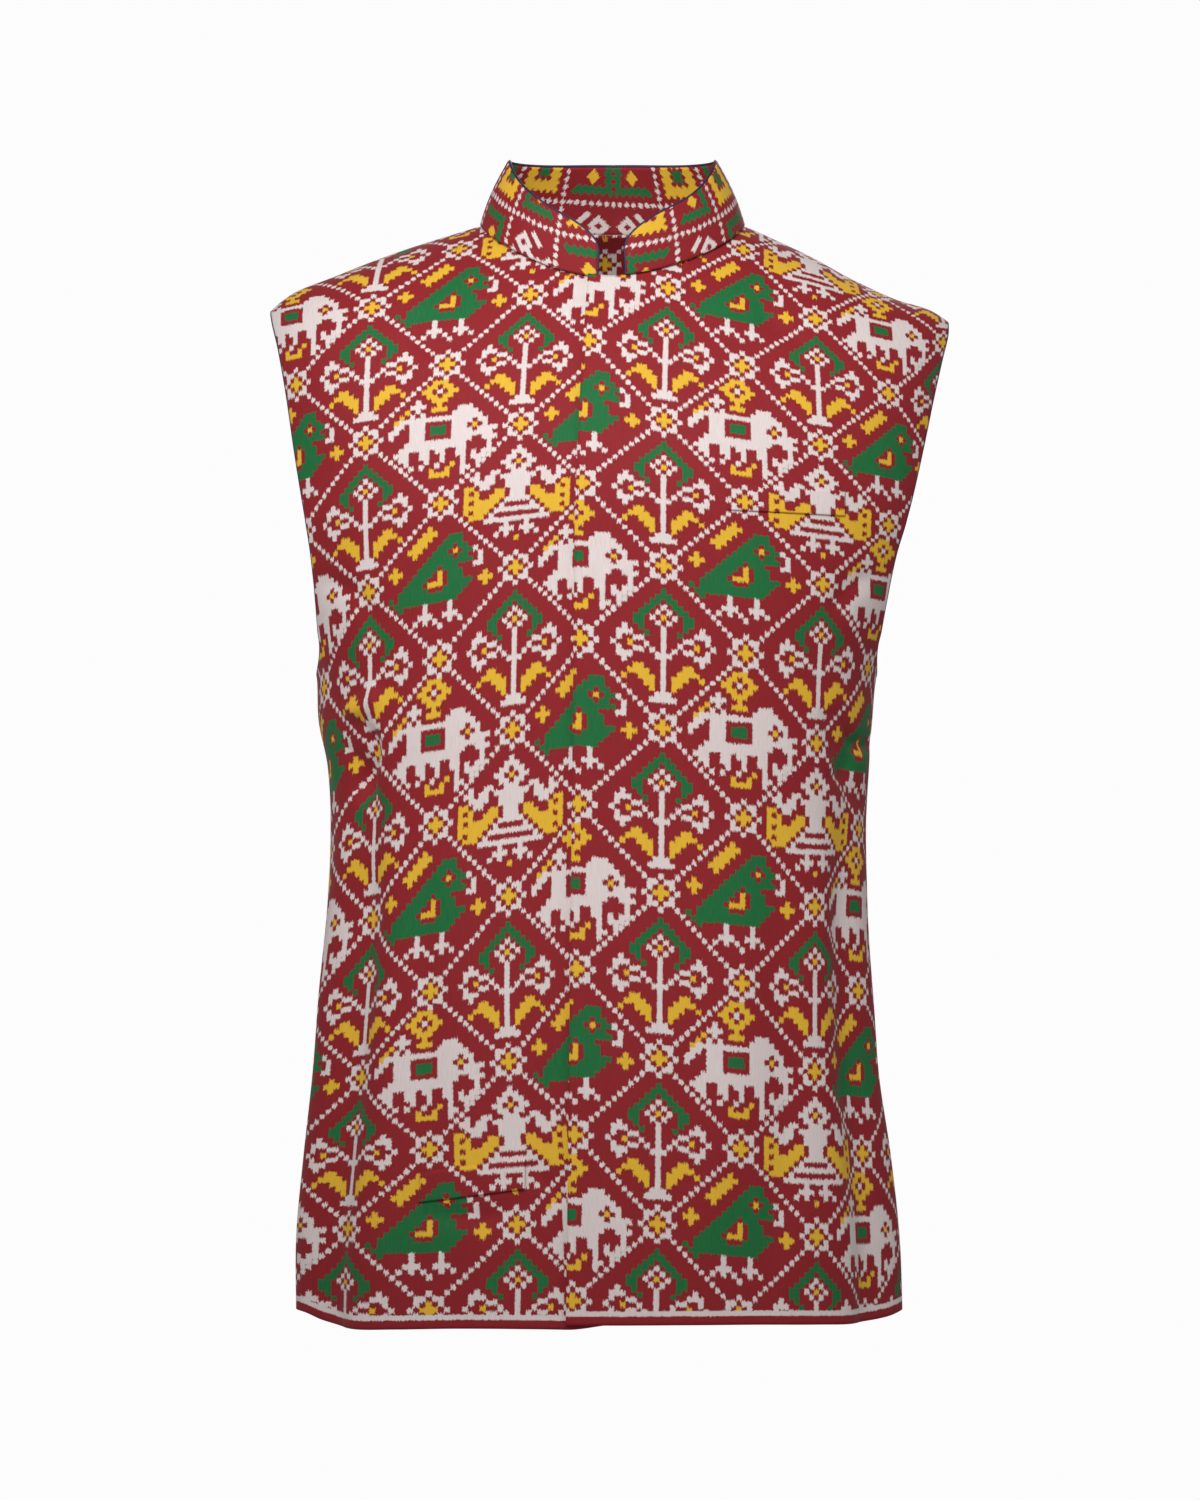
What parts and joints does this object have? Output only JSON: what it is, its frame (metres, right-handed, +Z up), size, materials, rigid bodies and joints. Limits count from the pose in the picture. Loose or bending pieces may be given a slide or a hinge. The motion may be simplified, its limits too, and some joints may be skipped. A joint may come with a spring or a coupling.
{
  "type": "nehru jacket",
  "caption": "Sleeveless standing-collar jacket with a concealed front placket, a breast welt pocket, a hip welt pocket and a woven trellis of animals and flowers.",
  "frame": {"origin": "midway between the shoulders that carry the jacket, level with the two neck points where the shoulder seams meet the collar", "axes": "+Z up, +X towards the wearer's left, -Y towards the wearer's front"},
  "size_m": [0.458, 0.2549, 0.7806],
  "materials": {
    "red_cloth": "red woven cloth with a white, yellow and green trellis of small motifs",
    "collar_cloth": "the same woven cloth, stiffened",
    "welt_cloth": "the same woven cloth, folded",
    "piping": "dark navy cord"
  },
  "bodies": {
    "root": {"front_right": "red_cloth", "front_left": "red_cloth", "back": "red_cloth", "collar": "collar_cloth", "collar_piping": "piping", "armhole_piping_right": "piping", "armhole_piping_left": "piping", "chest_welt": "welt_cloth", "hip_welt_right": "welt_cloth"}
  },
  "joints": []
}
